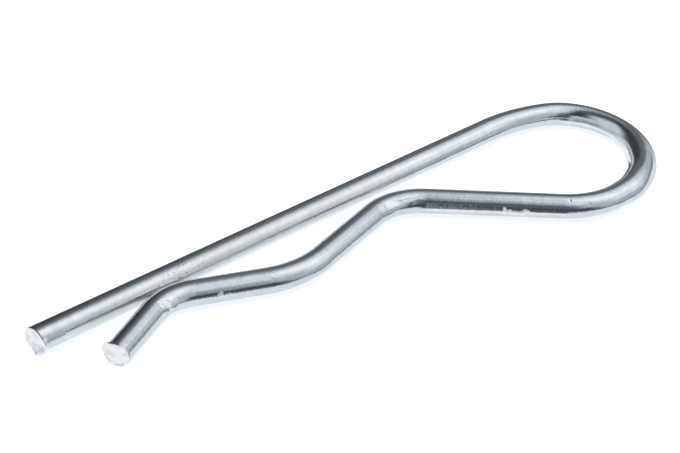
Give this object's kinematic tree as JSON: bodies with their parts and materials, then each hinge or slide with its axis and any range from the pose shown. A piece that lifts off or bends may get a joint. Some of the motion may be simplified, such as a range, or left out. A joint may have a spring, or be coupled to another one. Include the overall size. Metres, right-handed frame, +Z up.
{
  "type": "r-clip",
  "caption": "R-clip (hairpin cotter) bent from round spring wire: a straight leg for a cross hole, an eye to pull it by and a wavy leg that grips the shaft.",
  "frame": {"origin": "centre of the clip's outline, on the surface that it lies on", "axes": "+X along the straight leg from its cut end to the eye, +Y from the wavy leg to the straight leg, +Z up, square to the plane of the clip"},
  "size_m": [0.111, 0.0294, 0.0042],
  "materials": {
    "zinc_plated_steel": "bright zinc plate"
  },
  "bodies": {
    "root": {"spring_wire": "zinc_plated_steel"}
  },
  "joints": []
}
